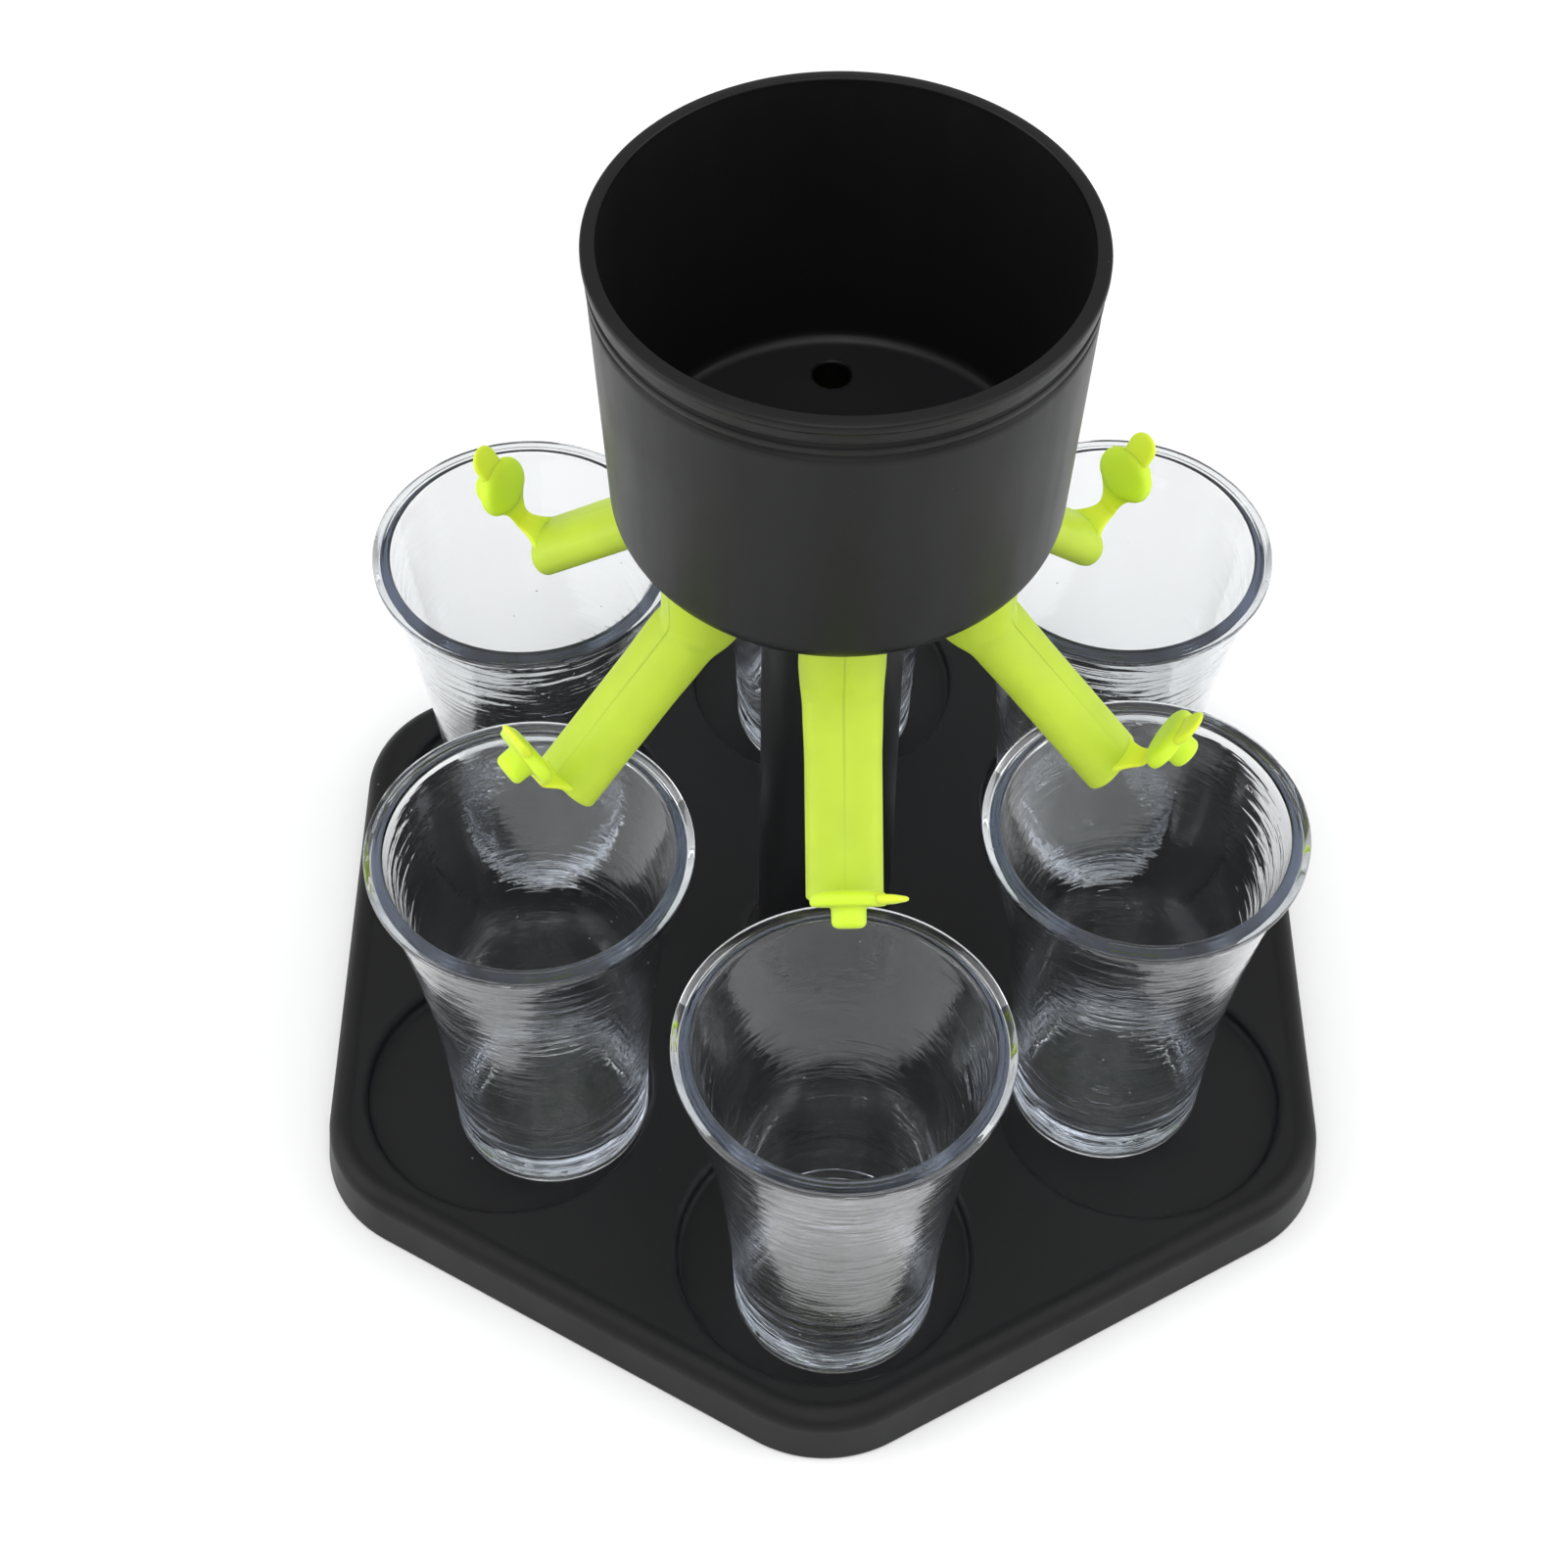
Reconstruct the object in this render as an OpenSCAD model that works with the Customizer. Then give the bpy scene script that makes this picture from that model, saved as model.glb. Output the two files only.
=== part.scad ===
/* [Tray] */
// Width of the six-sided tray across its flats, at the foot
tray_w = 177.2; // [176:0.2:184]
// Radius of the tray's corners at the foot
corner_r = 23; // [20:0.5:26]
// Height of the tray's deck above the table
tray_h = 11; // [10:0.5:14]
// How much wider the foot is than the shoulder, each side
tray_flare = 0.8; // [0.2:0.1:1.6]
// Rounding between the deck and the skirt
deck_round = 3.5; // [2:0.5:4]
// Wall thickness of the tray
tray_t = 2.2; // [1.6:0.1:2.4]
// Radius of each glass recess
recess_r = 25.3; // [25.1:0.1:25.6]
// Distance of the recess centres from the middle of the tray
recess_ring = 64.6; // [64:0.2:66]
// Depth of each glass recess
recess_d = 3; // [2.5:0.25:3.5]

/* [Post] */
// Radius of the post at its foot
post_r_foot = 11.9; // [11.5:0.1:12.5]
// Radius of the post where it meets the reservoir
post_r_top = 11.5; // [11.2:0.1:12]
// Wall thickness of the post
post_t = 2; // [1.5:0.1:2]

/* [Reservoir] */
// Outer radius of the reservoir at its rim
cup_r = 37.5; // [37:0.1:40]
// Height of the rim above the table
cup_top = 180.7; // [178:0.1:186]
// Height of the reservoir's underside above the table
cup_base = 128.5; // [127:0.5:130]
// Wall thickness at the rim
cup_t = 2.25; // [2:0.05:2.6]
// Thickness of the reservoir's floor
floor_t = 3; // [2.5:0.25:4]
// Distance of the outlets from the middle of the reservoir
outlet_ring = 24; // [23.5:0.25:24.5]
// Bore of each outlet
outlet_d = 5.8; // [5.6:0.1:6.2]
// How far the reservoir is turned on the post, in degrees
cup_turn = 2; // [0:0.5:4]

/* [Nozzles] */
// Width of each nozzle arm, side to side
arm_w = 11.9; // [11.5:0.2:12.1]
// Height of each nozzle arm's section
arm_h = 7.6; // [7.4:0.2:7.8]
// Outer radius of each nozzle's upright socket
socket_r = 6.7; // [6.5:0.1:7]
// Bore of each nozzle arm
arm_bore = 6; // [5.9:0.05:6.1]
// Length of each arm from the elbow to the mouth
arm_len = 36; // [34:0.2:37]
// Height of the elbows above the table
elbow_z = 117; // [116:0.5:118]

/* [Caps] */
// Width of each cap, side to side
cap_w = 11.6; // [11.4:0.2:11.6]
// Height of each cap's disc
cap_h = 7.6; // [7.4:0.2:7.8]
// Diameter of the plug where it leaves the disc
plug_d = 5.2; // [4.8:0.1:5.3]
// Length of the plug
plug_len = 3.2; // [2.8:0.1:3.3]
// Distance of the hinge line from the middle of the mouth
hinge_off = 7; // [6.6:0.1:7.4]
// Radius of the pull tab
tab_r = 2.4; // [2:0.1:2.8]

/* [Glasses] */
// Outer radius of each glass at its lip
glass_r = 26.35; // [25.8:0.05:26.6]
// Outer radius of each glass at its foot
glass_foot_r = 16.6; // [16:0.1:16.8]
// Height of each glass
glass_h = 75.4; // [72:0.2:76]
// Thickness of each glass's solid foot
glass_foot_t = 5.6; // [4.4:0.2:6.4]
// Wall thickness of each glass
glass_t = 1.6; // [1.4:0.1:1.8]

/* [Hidden] */
$fn = 64;
eps = 0.01;

// Stations run front, front right, rear right, rear, rear left, front left
station_az = [-90, -30, 30, 90, 150, 210];
// How far each soft elbow is twisted on its outlet, and how steeply its arm hangs
arm_twist = [-0.4, 1.2, 0.4, 0, 7.5, 5.6];
arm_dip = [40.5, 43.5, 44.7, 42, 39.3, 40];
// How far each cap stands open, 0 being shut, and where its pull tab points
cap_open = [187, 191, 193, 186, 188, 202];
tab_turn = [80, 0, 0, 0, 0, 0];
// Where each glass stands
glass_at = [[1.6, -71], [50.3, -28.6], [50, 32.2], [0.3, 57.6], [-52.6, 30.4], [-48.1, -34.4]];

black = "#1f1f21";
lime = "#b9e23a";
clear = [0.86, 0.9, 0.95, 0.35];

recess_z = tray_h - recess_d;
recess_lip = 1;
collar_z = tray_h + 2.2;
post_bore = post_r_foot - post_t - 0.4;
hinge_z = 0.5;
strap_t = 0.9;
strap_w = 3.4;

// ---------- tray ----------
// One corner of the tray's outer form: skirt, shoulder rounding, deck
module corner_form(w, r, h, flare, rnd) {
    rotate_extrude($fn = 48) polygon(concat(
        [[0, 0], [r, 0]],
        [for (a = [0:15:90]) [r - flare - rnd + rnd * cos(a), h - rnd + rnd * sin(a)]],
        [[0, h]]));
}
module tray_form(w, r, h, flare, rnd)
    hull() for (k = [0:5]) rotate([0, 0, 30 + 60 * k])
        translate([(w / 2 - r) / cos(30), 0, 0]) corner_form(w, r, h, flare, rnd);

// What the recess takes out of the deck: a flat floor, a small cove and a rounded lip
module recess_cut() rotate_extrude() {
    difference() {
        translate([0, recess_z]) square([recess_r, recess_d + 5]);
        difference() {
            translate([recess_r - 1, recess_z - eps]) square([1 + eps, 1 + eps]);
            translate([recess_r - 1, recess_z + 1]) circle(1);
        }
    }
    difference() {
        translate([recess_r - eps, tray_h - recess_lip]) square([recess_lip + eps, recess_lip + 5]);
        translate([recess_r + recess_lip, tray_h - recess_lip]) circle(recess_lip);
    }
}
module recess_well() translate([0, 0, recess_z - tray_t])
    cylinder(r = recess_r + tray_t, h = recess_d + tray_t - 0.6);

// Raised ring that the post stands on, and the spigot inside the post
module post_seat() rotate_extrude() {
    difference() {
        translate([post_bore - 0.2 - 2, tray_h - tray_t]) square([18.7 - post_bore, collar_z - tray_h + tray_t]);
        translate([16.6, collar_z + 0.4]) circle(2.6);
    }
    translate([post_bore - 0.2 - 2, tray_h - tray_t]) square([2, 22]);
}
module tray() color(black) difference() {
    union() {
        difference() {
            tray_form(tray_w, corner_r, tray_h, tray_flare, deck_round);
            translate([0, 0, -eps])
                tray_form(tray_w - 2 * tray_t, corner_r - tray_t, tray_h - tray_t, tray_flare, deck_round - 1.5);
        }
        for (a = station_az) rotate([0, 0, a]) translate([recess_ring, 0, 0]) recess_well();
        post_seat();
    }
    for (a = station_az) rotate([0, 0, a]) translate([recess_ring, 0, 0]) recess_cut();
}

// ---------- post ----------
module post() color(black) difference() {
    translate([0, 0, collar_z]) cylinder(r1 = post_r_foot, r2 = post_r_top, h = cup_base - collar_z);
    translate([0, 0, collar_z - 1]) cylinder(r = post_bore, h = cup_base - collar_z + 2);
}

// ---------- reservoir ----------
cup_foot_r = cup_r - 2.5;
cup_wall_r = cup_r - 0.6;
cup_round = 4.5;
// Outside: rounded foot, tapered wall, two fine grooves, plain rim band
module cup_outside() {
    polygon([[0, cup_base + 1], [0, cup_top], [cup_r - 0.3, cup_top], [cup_r, cup_top - 0.3],
        [cup_r, cup_top - 1.5], [cup_r - 0.3, cup_top - 1.8], [cup_r - 0.35, cup_top - 3.6],
        [cup_r - 0.8, cup_top - 3.9], [cup_r - 0.8, cup_top - 4.5], [cup_r - 0.45, cup_top - 4.8],
        [cup_r - 0.5, cup_top - 6.0], [cup_r - 0.9, cup_top - 6.3], [cup_r - 0.9, cup_top - 6.9],
        [cup_wall_r, cup_top - 7.3],
        [cup_foot_r, cup_base + cup_round], [cup_foot_r - cup_round, cup_base + cup_round],
        [cup_foot_r - cup_round, cup_base + 1]]);
    difference() {
        translate([cup_foot_r - cup_round, cup_base + cup_round]) circle(cup_round);
        translate([0, cup_base + cup_round]) square([cup_r, 20]);
    }
    translate([0, cup_base]) square([cup_foot_r - cup_round, cup_round]);
}
module cup_inside() difference() {
    polygon([[0, cup_base + floor_t], [cup_foot_r - cup_t - 0.2, cup_base + floor_t],
        [cup_r - cup_t, cup_top + 1], [0, cup_top + 1]]);
    difference() {
        translate([cup_foot_r - cup_t - 2.2, cup_base + floor_t - 1]) square([4, 3]);
        translate([cup_foot_r - cup_t - 2.2, cup_base + floor_t + 2]) circle(2);
    }
}
module reservoir() color(black) rotate([0, 0, cup_turn]) difference() {
    union() {
        rotate_extrude($fn = 128) difference() { cup_outside(); cup_inside(); }
        for (a = station_az) rotate([0, 0, a]) translate([outlet_ring, 0, cup_base - 6.5])
            cylinder(d = outlet_d + 2.8, h = 7.5);
        translate([0, 0, cup_base - 20]) difference() {
            cylinder(r = post_bore - 0.2, h = 21);
            translate([0, 0, -1]) cylinder(r = post_bore - 2.2, h = 21);
        }
    }
    for (a = station_az) rotate([0, 0, a]) translate([outlet_ring, 0, cup_base - 10])
        cylinder(d = outlet_d, h = 20);
}

// ---------- nozzles ----------
// Oval section of an arm or cap, h high and w wide: two broad arcs meeting two small round ends
module oval(w, h) {
    end_r = 0.4 * h;
    end_y = w / 2 - end_r;
    arc_r = (end_y * end_y + h * h / 4 - end_r * end_r) / (h - 2 * end_r);
    join_y = end_y * arc_r / (arc_r - end_r);
    for (s = [-1, 1]) translate([0, s * end_y]) circle(r = end_r);
    intersection() {
        translate([h / 2 - arc_r, 0]) circle(r = arc_r);
        translate([arc_r - h / 2, 0]) circle(r = arc_r);
        translate([-h, -join_y]) square([2 * h, 2 * join_y]);
    }
}
// Frame of a station's outlet: origin on the outlet's axis at the table
module at_outlet(i) rotate([0, 0, cup_turn + station_az[i]]) translate([outlet_ring, 0, 0])
    rotate([0, 0, arm_twist[i]]) children();
// Frame of an arm: origin at the elbow, z towards the mouth, -x on the upper side
module at_arm(i) at_outlet(i) translate([0, 0, elbow_z]) rotate([0, 90 + arm_dip[i], 0]) children();

// Upright socket with a rounded elbow end, origin at the elbow
module socket_form() rotate_extrude() {
    translate([0, -1.5]) square([socket_r, cup_base - elbow_z + 1.5]);
    translate([0, -5.5]) square([socket_r - 4, 6]);
    intersection() {
        translate([socket_r - 4, -1.5]) circle(4);
        translate([0, -6]) square([socket_r, 6]);
    }
}
module nozzle(i) color(lime) difference() {
    union() {
        at_outlet(i) translate([0, 0, elbow_z]) rotate([0, 0, 180]) socket_form();
        at_arm(i) linear_extrude(height = arm_len) oval(arm_w, arm_h);
    }
    at_outlet(i) translate([0, 0, cup_base - 6.5]) cylinder(d = outlet_d + 2.8, h = 10);
    at_outlet(i) translate([0, 0, elbow_z]) cylinder(d = outlet_d, h = 10);
    at_outlet(i) translate([0, 0, elbow_z]) sphere(d = arm_bore + 0.3);
    at_arm(i) cylinder(d = arm_bore, h = arm_len + 1);
}

// ---------- caps ----------
function tab_out(i) = tab_turn[i] == 0 ? cap_h / 2 + 1.8 : cap_w / 2 + 0.8;
// Turns a shut cap about its hinge line to where it stands open
module opened(i) translate([-hinge_off, 0, arm_len + hinge_z]) rotate([0, -cap_open[i], 0])
    translate([hinge_off, 0, -arm_len - hinge_z]) children();
module shut_cap(i) translate([0, 0, arm_len + 0.2]) {
    rotate_extrude() polygon(concat([[0, 0.5], [plug_d / 2, 0.5], [plug_d / 2, 0]],
        [for (a = [0:-15:-90]) [plug_d / 2 - 1.15 + cos(a), 1 - plug_len + sin(a)]],
        [[0, -plug_len]]));
    linear_extrude(height = 1.6) oval(cap_w, cap_h);
    translate([0, 0, 1.5]) linear_extrude(height = 0.7) oval(cap_w - 1, cap_h - 1);
    // pull tab: opposite the strap, or swung round to the side where the cap is twisted
    rotate([0, 0, tab_turn[i]]) translate([0, 0, 0.4]) {
        translate([tab_out(i), 0, 0]) cylinder(r = tab_r, h = 1.2);
        translate([0, -1.6, 0]) cube([tab_out(i), 3.2, 1.2]);
    }
}
module cap(i) color(lime) at_arm(i) opened(i) shut_cap(i);

// Thin strap between a nozzle's mouth and its cap, bent at the hinge line
module strap(i) color(lime) at_arm(i) {
    rotate([90, 0, 0]) translate([0, 0, -strap_w / 2]) linear_extrude(height = strap_w)
        polygon([[-arm_h / 2, arm_len - 1.6], [-arm_h / 2, arm_len - 0.05],
            [-hinge_off, arm_len + hinge_z + strap_t / 2], [-hinge_off, arm_len + hinge_z - strap_t / 2]]);
    translate([-hinge_off, 0, arm_len + hinge_z]) rotate([90, 0, 0])
        cylinder(d = strap_t, h = strap_w, center = true, $fn = 24);
    opened(i) translate([-hinge_off, -strap_w / 2, arm_len + hinge_z - strap_t / 2])
        cube([hinge_off - cap_h / 2 - 0.06, strap_w, strap_t]);
}

// ---------- glasses ----------
// Outer radius of a glass at a share of its height: straight foot, swelling to the lip
function glass_out(u) = glass_foot_r + 0.3 + (glass_r - 1.15 - glass_foot_r - 0.3) * (0.17 * u + 0.83 * pow(u, 2.05));
function glass_in(u) = glass_out(u) - glass_t - 0.35 * u;
function glass_u(z) = (z - 2) / (glass_h - 3.6);
glass_n = 9;
cove_z = glass_foot_t + 5;
cove_r = glass_in(glass_u(cove_z));
// Dished underside with the gate's nub, wall, flat-topped lip; the hollow has a deep round corner at its floor
module shot_glass(i) color(clear) translate([glass_at[i][0], glass_at[i][1], recess_z]) rotate_extrude() difference() {
    polygon(concat(
        [[0, 0.15], [2, 0.15], [2.1, 0.45], [glass_foot_r - 2.2, 0.45], [glass_foot_r - 2.4, 0],
            [glass_foot_r - 1, 0], [glass_foot_r - 0.2, 0.4], [glass_foot_r, 1.1]],
        [for (k = [0:glass_n]) [glass_out(k / glass_n), 2 + (glass_h - 3.6) * k / glass_n]],
        [[glass_r - 0.35, glass_h - 1.5], [glass_r, glass_h - 1.15], [glass_r, glass_h - 0.5],
            [glass_r - 0.15, glass_h - 0.15], [glass_r - 0.5, glass_h], [0, glass_h]]));
    polygon(concat(
        [[-1, glass_foot_t]],
        [for (a = [90:-18:0]) [cove_r - 4.5 + 4.5 * cos(a), cove_z - 5 * sin(a)]],
        [for (k = [1:glass_n]) let (u = glass_u(cove_z) + (1 - glass_u(cove_z)) * k / glass_n)
            [glass_in(u), 2 + (glass_h - 3.6) * u]],
        [[glass_in(1), glass_h - 0.45], [glass_in(1) + 0.15, glass_h - 0.15], [glass_in(1) + 0.45, glass_h + eps],
            [glass_in(1) + 0.45, glass_h + 1], [-1, glass_h + 1]]));
}

tray();
post();
reservoir();
nozzle(0);  // nozzle_front
nozzle(1);  // nozzle_front_right
nozzle(2);  // nozzle_rear_right
nozzle(3);  // nozzle_rear
nozzle(4);  // nozzle_rear_left
nozzle(5);  // nozzle_front_left
strap(0);  // strap_front
strap(1);  // strap_front_right
strap(2);  // strap_rear_right
strap(3);  // strap_rear
strap(4);  // strap_rear_left
strap(5);  // strap_front_left
cap(0);  // cap_front
cap(1);  // cap_front_right
cap(2);  // cap_rear_right
cap(3);  // cap_rear
cap(4);  // cap_rear_left
cap(5);  // cap_front_left
shot_glass(0);  // shot_glass_front
shot_glass(1);  // shot_glass_front_right
shot_glass(2);  // shot_glass_rear_right
shot_glass(3);  // shot_glass_rear
shot_glass(4);  // shot_glass_rear_left
shot_glass(5);  // shot_glass_front_left
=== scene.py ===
import math

import bmesh
import bpy
import numpy as np
from mathutils import Matrix, Vector
from mathutils.geometry import delaunay_2d_cdt


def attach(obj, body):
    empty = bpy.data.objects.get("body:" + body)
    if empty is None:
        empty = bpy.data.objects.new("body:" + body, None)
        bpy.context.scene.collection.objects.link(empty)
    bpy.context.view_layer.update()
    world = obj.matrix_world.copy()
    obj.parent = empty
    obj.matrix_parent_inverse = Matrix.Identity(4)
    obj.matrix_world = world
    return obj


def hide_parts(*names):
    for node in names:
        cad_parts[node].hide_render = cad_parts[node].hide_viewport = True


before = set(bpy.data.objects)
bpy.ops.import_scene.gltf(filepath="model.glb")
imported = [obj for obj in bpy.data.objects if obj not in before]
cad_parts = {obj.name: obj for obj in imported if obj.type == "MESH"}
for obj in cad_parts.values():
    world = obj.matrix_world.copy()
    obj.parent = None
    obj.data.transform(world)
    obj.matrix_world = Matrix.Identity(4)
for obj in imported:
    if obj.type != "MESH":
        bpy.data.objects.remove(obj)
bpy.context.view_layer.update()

# ---------------------------------------------------------------- sizes, in millimetres
MM = 0.001
TRAY_W, CORNER_R, TRAY_H, FLARE, DECK_RND, TRAY_T = 177.2, 23.0, 11.0, 0.8, 3.5, 2.2
RECESS_R, RECESS_RING, RECESS_Z = 25.3, 64.6, 8.0
COLLAR_Z, POST_FOOT, POST_TOP, BORE = 13.2, 11.9, 11.5, 9.5
CUP_R, CUP_TOP, CUP_BASE, CUP_T, FLOOR_T = 37.5, 180.7, 128.5, 2.25, 3.0
OUTLET_RING, OUTLET_D, CUP_TURN = 24.0, 5.8, 2.0
ARM_W, ARM_H, SOCKET_R, ARM_BORE, ARM_LEN, ELBOW_Z = 11.9, 7.6, 6.7, 6.0, 36.0, 117.0
CAP_W, CAP_H, PLUG_D, PLUG_LEN, HINGE_OFF, HINGE_Z, TAB_R = 11.6, 7.6, 5.2, 3.2, 7.0, 0.5, 2.4
GLASS_R, GLASS_FOOT, GLASS_H, GLASS_FT, GLASS_T = 26.35, 16.6, 75.4, 5.6, 1.6
NAMES = ["front", "front_right", "rear_right", "rear", "rear_left", "front_left"]
AZ = [-90, -30, 30, 90, 150, 210]
TWIST = [-0.4, 1.2, 0.4, 0, 7.5, 5.6]
DIP = [40.5, 43.5, 44.7, 42, 39.3, 40]
OPEN = [187, 191, 193, 186, 188, 202]
TAB = [80, 0, 0, 0, 0, 0]
GLASS_AT = [(1.6, -71), (50.3, -28.6), (50, 32.2), (0.3, 57.6), (-52.6, 30.4), (-48.1, -34.4)]


# ---------------------------------------------------------------- matrices
def shift(x, y, z):
    m = np.eye(4)
    m[:3, 3] = (x, y, z)
    return m


def turn_z(a):
    c, s = math.cos(math.radians(a)), math.sin(math.radians(a))
    m = np.eye(4)
    m[:2, :2] = [[c, -s], [s, c]]
    return m


def turn_y(a):
    c, s = math.cos(math.radians(a)), math.sin(math.radians(a))
    m = np.eye(4)
    m[0, 0], m[0, 2], m[2, 0], m[2, 2] = c, s, -s, c
    return m


def at_outlet(i):
    return turn_z(CUP_TURN + AZ[i]) @ shift(OUTLET_RING, 0, 0) @ turn_z(TWIST[i])


def at_arm(i):
    return at_outlet(i) @ shift(0, 0, ELBOW_Z) @ turn_y(90 + DIP[i])


def at_cap(i):
    return (
        at_arm(i)
        @ shift(-HINGE_OFF, 0, ARM_LEN + HINGE_Z)
        @ turn_y(-OPEN[i])
        @ shift(HINGE_OFF, 0, -ARM_LEN - HINGE_Z)
        @ shift(0, 0, ARM_LEN + 0.2)
    )


def moved(points, m):
    p = np.asarray(points, float)
    return p @ m[:3, :3].T + m[:3, 3]


# ---------------------------------------------------------------- mesh building
class Shell:
    """Vertices in millimetres and faces, grown ring by ring."""

    def __init__(self):
        self.v, self.f, self.tags = [], [], []

    def ring(self, points, tag=0.0):
        start = len(self.v)
        self.v += [tuple(p) for p in points]
        self.tags += [tag] * len(points)
        return list(range(start, len(self.v)))

    def bridge(self, a, b):
        n = len(a)
        for k in range(n):
            j = (k + 1) % n
            self.f.append((a[k], a[j], b[j], b[k]))

    def fan(self, ring, point, tag=0.0, flip=False):
        c = self.ring([point], tag)[0]
        n = len(ring)
        for k in range(n):
            j = (k + 1) % n
            self.f.append((c, ring[j], ring[k]) if flip else (c, ring[k], ring[j]))

    def add(self, other):
        base = len(self.v)
        self.v += other.v
        self.tags += other.tags
        self.f += [tuple(i + base for i in face) for face in other.f]
        return self


def arc(cx, cz, r, a0, a1, n):
    return [
        (cx + r * math.cos(math.radians(a0 + (a1 - a0) * k / n)), cz + r * math.sin(math.radians(a0 + (a1 - a0) * k / n)))
        for k in range(n + 1)
    ]


def lathe(profile, n, centre=(0.0, 0.0), z0=0.0, closed=False, shell=None, phase=0.0):
    """Turns a profile of (radius, height) about the upright axis."""
    s = shell or Shell()
    rings = []
    for r, z in profile:
        if r < 1e-6:
            rings.append(s.ring([(centre[0], centre[1], z + z0)]))
        else:
            rings.append(
                s.ring(
                    [
                        (
                            centre[0] + r * math.cos(phase + 2 * math.pi * k / n),
                            centre[1] + r * math.sin(phase + 2 * math.pi * k / n),
                            z + z0,
                        )
                        for k in range(n)
                    ]
                )
            )
    pairs = list(zip(rings, rings[1:]))
    if closed:
        pairs.append((rings[-1], rings[0]))
    for a, b in pairs:
        if len(a) == 1 and len(b) == 1:
            continue
        if len(a) == 1:
            for k in range(n):
                s.f.append((a[0], b[(k + 1) % n], b[k]))
        elif len(b) == 1:
            for k in range(n):
                s.f.append((b[0], a[k], a[(k + 1) % n]))
        else:
            s.bridge(a, b)
    s.rings = rings
    return s


def sheet_between(s, loops, z, keep):
    """Fills a flat region bounded by closed loops with triangles; keep says which centroids stay."""
    pts, edges = [], []
    for loop in loops:
        start = len(pts)
        pts += [Vector((p[0], p[1])) for p in loop]
        n = len(loop)
        edges += [(start + k, start + (k + 1) % n) for k in range(n)]
    v, _e, f, _a, _b, _c = delaunay_2d_cdt(pts, edges, [], 0, 1e-7)
    base = len(s.v)
    s.v += [(p.x, p.y, z) for p in v]
    s.tags += [0.0] * len(v)
    for tri in f:
        c = sum((v[k] for k in tri), Vector((0.0, 0.0))) / len(tri)
        if keep(c.x, c.y):
            s.f.append(tuple(base + k for k in tri))


def circle(cx, cy, r, n, phase=0.0):
    return [
        (cx + r * math.cos(phase + 2 * math.pi * k / n), cy + r * math.sin(phase + 2 * math.pi * k / n)) for k in range(n)
    ]


def piece(name, shell, body, material, replaces=(), sharp=38, weld=2e-7):
    me = bpy.data.meshes.new(name)
    me.from_pydata((np.array(shell.v, float) * MM).tolist(), [], shell.f)
    # the tags become a point attribute: a yellower tint on thin silicone parts, and painted light (a paler colour)
    # inside the reservoir
    if any(shell.tags):
        att = me.attributes.new("thin_tint_and_painted_light", "FLOAT", "POINT")
        att.data.foreach_set("value", np.array(shell.tags, np.float32))
    bm = bmesh.new()
    bm.from_mesh(me)
    bmesh.ops.remove_doubles(bm, verts=bm.verts, dist=weld)
    bmesh.ops.dissolve_degenerate(bm, edges=bm.edges, dist=1e-8)
    bmesh.ops.recalc_face_normals(bm, faces=bm.faces)
    bm.to_mesh(me)
    bm.free()
    me.shade_smooth()
    me.set_sharp_from_angle(angle=math.radians(sharp))
    o = bpy.data.objects.new(name, me)
    bpy.context.scene.collection.objects.link(o)
    o.data.materials.append(material)
    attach(o, body)
    if replaces:
        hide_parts(*replaces)
    return o


# ---------------------------------------------------------------- materials
def nodes_of(name):
    m = bpy.data.materials.new(name)
    m.use_nodes = True
    nt = m.node_tree
    nt.nodes.clear()
    out = nt.nodes.new("ShaderNodeOutputMaterial")
    p = nt.nodes.new("ShaderNodeBsdfPrincipled")
    nt.links.new(p.outputs["BSDF"], out.inputs["Surface"])
    return m, nt, p, out


def noise(nt, vec, scale, detail=2.0, rough=0.5, distortion=0.0):
    n = nt.nodes.new("ShaderNodeTexNoise")
    n.inputs["Scale"].default_value = scale
    n.inputs["Detail"].default_value = detail
    n.inputs["Roughness"].default_value = rough
    n.inputs["Distortion"].default_value = distortion
    nt.links.new(vec, n.inputs["Vector"])
    return n.outputs["Fac"]


def mapped(nt, vec, scale=(1, 1, 1), rotation=(0, 0, 0)):
    m = nt.nodes.new("ShaderNodeMapping")
    m.inputs["Scale"].default_value = scale
    m.inputs["Rotation"].default_value = rotation
    nt.links.new(vec, m.inputs["Vector"])
    return m.outputs["Vector"]


def ramp(nt, fac, a, b, lo=0.0, hi=1.0):
    r = nt.nodes.new("ShaderNodeMapRange")
    r.clamp = True
    r.inputs["From Min"].default_value = a
    r.inputs["From Max"].default_value = b
    r.inputs["To Min"].default_value = lo
    r.inputs["To Max"].default_value = hi
    nt.links.new(fac, r.inputs["Value"])
    return r.outputs["Result"]


def maths(nt, op, a, b=None, c=None):
    n = nt.nodes.new("ShaderNodeMath")
    n.operation = op
    for k, x in enumerate((a, b, c)):
        if x is None:
            continue
        if isinstance(x, (int, float)):
            n.inputs[k].default_value = x
        else:
            nt.links.new(x, n.inputs[k])
    return n.outputs[0]


def mix_colour(nt, fac, a, b):
    n = nt.nodes.new("ShaderNodeMix")
    n.data_type = "RGBA"
    n.clamp_factor = True
    if isinstance(fac, (int, float)):
        n.inputs[0].default_value = fac
    else:
        nt.links.new(fac, n.inputs[0])
    for socket, x in ((n.inputs[6], a), (n.inputs[7], b)):
        if isinstance(x, tuple):
            socket.default_value = (*x, 1.0)
        else:
            nt.links.new(x, socket)
    return n.outputs[2]


def bump(nt, height, strength, distance, normal=None):
    b = nt.nodes.new("ShaderNodeBump")
    b.inputs["Strength"].default_value = strength
    b.inputs["Distance"].default_value = distance
    nt.links.new(height, b.inputs["Height"])
    if normal is not None:
        nt.links.new(normal, b.inputs["Normal"])
    return b.outputs["Normal"]


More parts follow.
